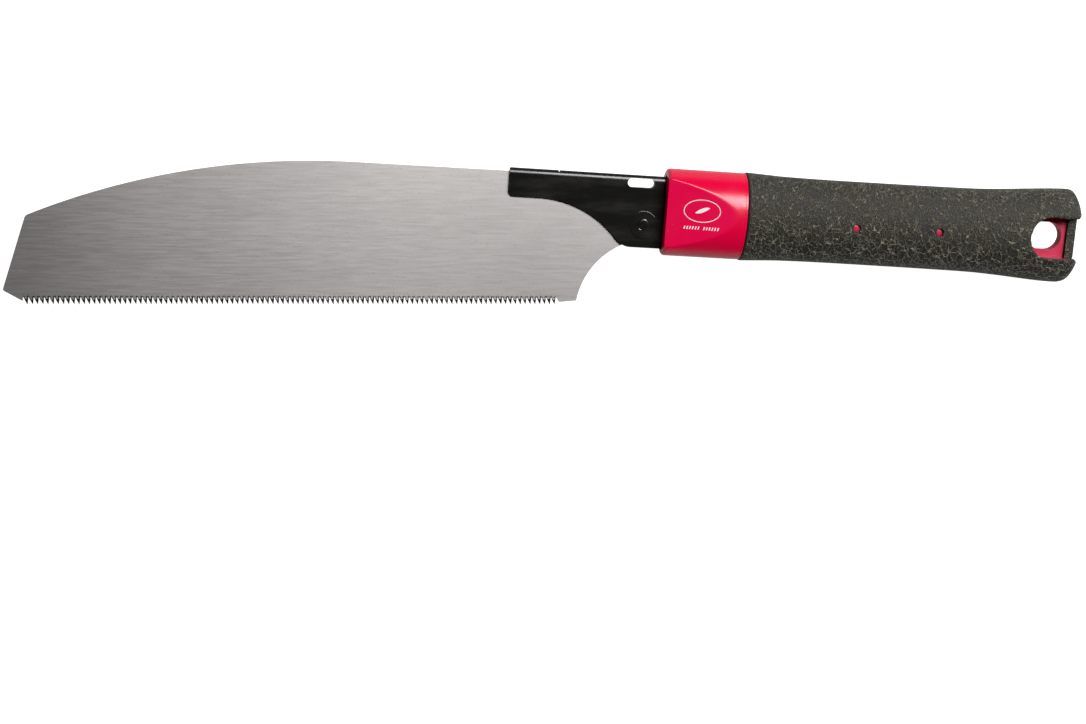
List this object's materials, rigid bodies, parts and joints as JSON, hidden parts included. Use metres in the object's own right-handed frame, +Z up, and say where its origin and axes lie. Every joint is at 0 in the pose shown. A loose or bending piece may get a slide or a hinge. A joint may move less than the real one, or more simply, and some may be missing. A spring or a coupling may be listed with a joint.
{
  "type": "pull saw with a replaceable blade",
  "caption": "Straight-handled pull saw: belly-backed single-edge blade hooked on a pin in a folded steel holder, red collar, oval rubber grip with a hang eye.",
  "frame": {"origin": "middle of the footprint of the saw lying on its side, at the height of the grip's lowest point", "axes": "+X from the blade's nose to the handle's end along the toothed edge, +Y from the teeth towards the spine, +Z up, square to the blade's flat"},
  "size_m": [0.5512, 0.0722, 0.0306],
  "materials": {
    "blade_steel": "satin, fine grain along the blade",
    "plated_steel": "dull plated",
    "black_enamel": "black gloss",
    "red_core": "satin",
    "red_gloss": "gloss",
    "grip_rubber": "leather-grained elastomer"
  },
  "bodies": {
    "handle": {"blade_holder": "black_enamel", "tang_plate": "plated_steel", "tang_rivet_front": "plated_steel", "tang_rivet_rear": "plated_steel", "core_shell_left": "red_core", "core_shell_right": "red_core", "cross_pin_front": "red_core", "cross_pin_rear": "red_core", "ferrule": "red_gloss", "grip_sleeve": "grip_rubber"},
    "pin": {"hook_pin": "plated_steel"},
    "blade": {"saw_blade": "blade_steel"}
  },
  "joints": [
    {"name": "blade_swing", "type": "hinge", "parent": "handle", "child": "pin", "pos_m": [0.04316, 0.0052, 0.01529], "axis": [0, 0, 1], "range_deg": [0, 20]},
    {"name": "blade_unhook", "type": "slide", "parent": "pin", "child": "blade", "axis": [-0.3907, -0.9205, 0], "range_m": [0, 0.04]}
  ]
}
